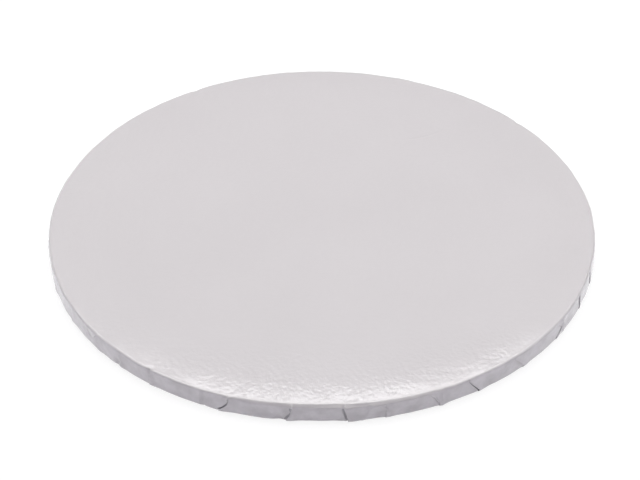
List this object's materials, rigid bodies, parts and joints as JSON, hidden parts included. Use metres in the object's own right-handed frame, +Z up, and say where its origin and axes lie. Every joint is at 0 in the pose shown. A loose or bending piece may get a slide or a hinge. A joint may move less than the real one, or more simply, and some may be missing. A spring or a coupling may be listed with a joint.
{
  "type": "cake board",
  "caption": "Round foil-wrapped cake drum: a thick board disc in a pleated white foil paper cover, with a paper disc underneath, that carries a cake.",
  "frame": {"origin": "middle of the underside, on the surface that the board stands on", "axes": "+Z up along the axis of the disc, towards the side that carries the cake; -Y is the side that the picture shows in front"},
  "size_m": [0.3048, 0.3051, 0.0124],
  "materials": {
    "board": "matt grey-brown solid board",
    "foil_paper": "satin white foil paper with a fine emboss",
    "backing_paper": "matt white paper"
  },
  "bodies": {
    "root": {"core_board": "board", "foil_cover": "foil_paper", "base_paper": "backing_paper"}
  },
  "joints": []
}
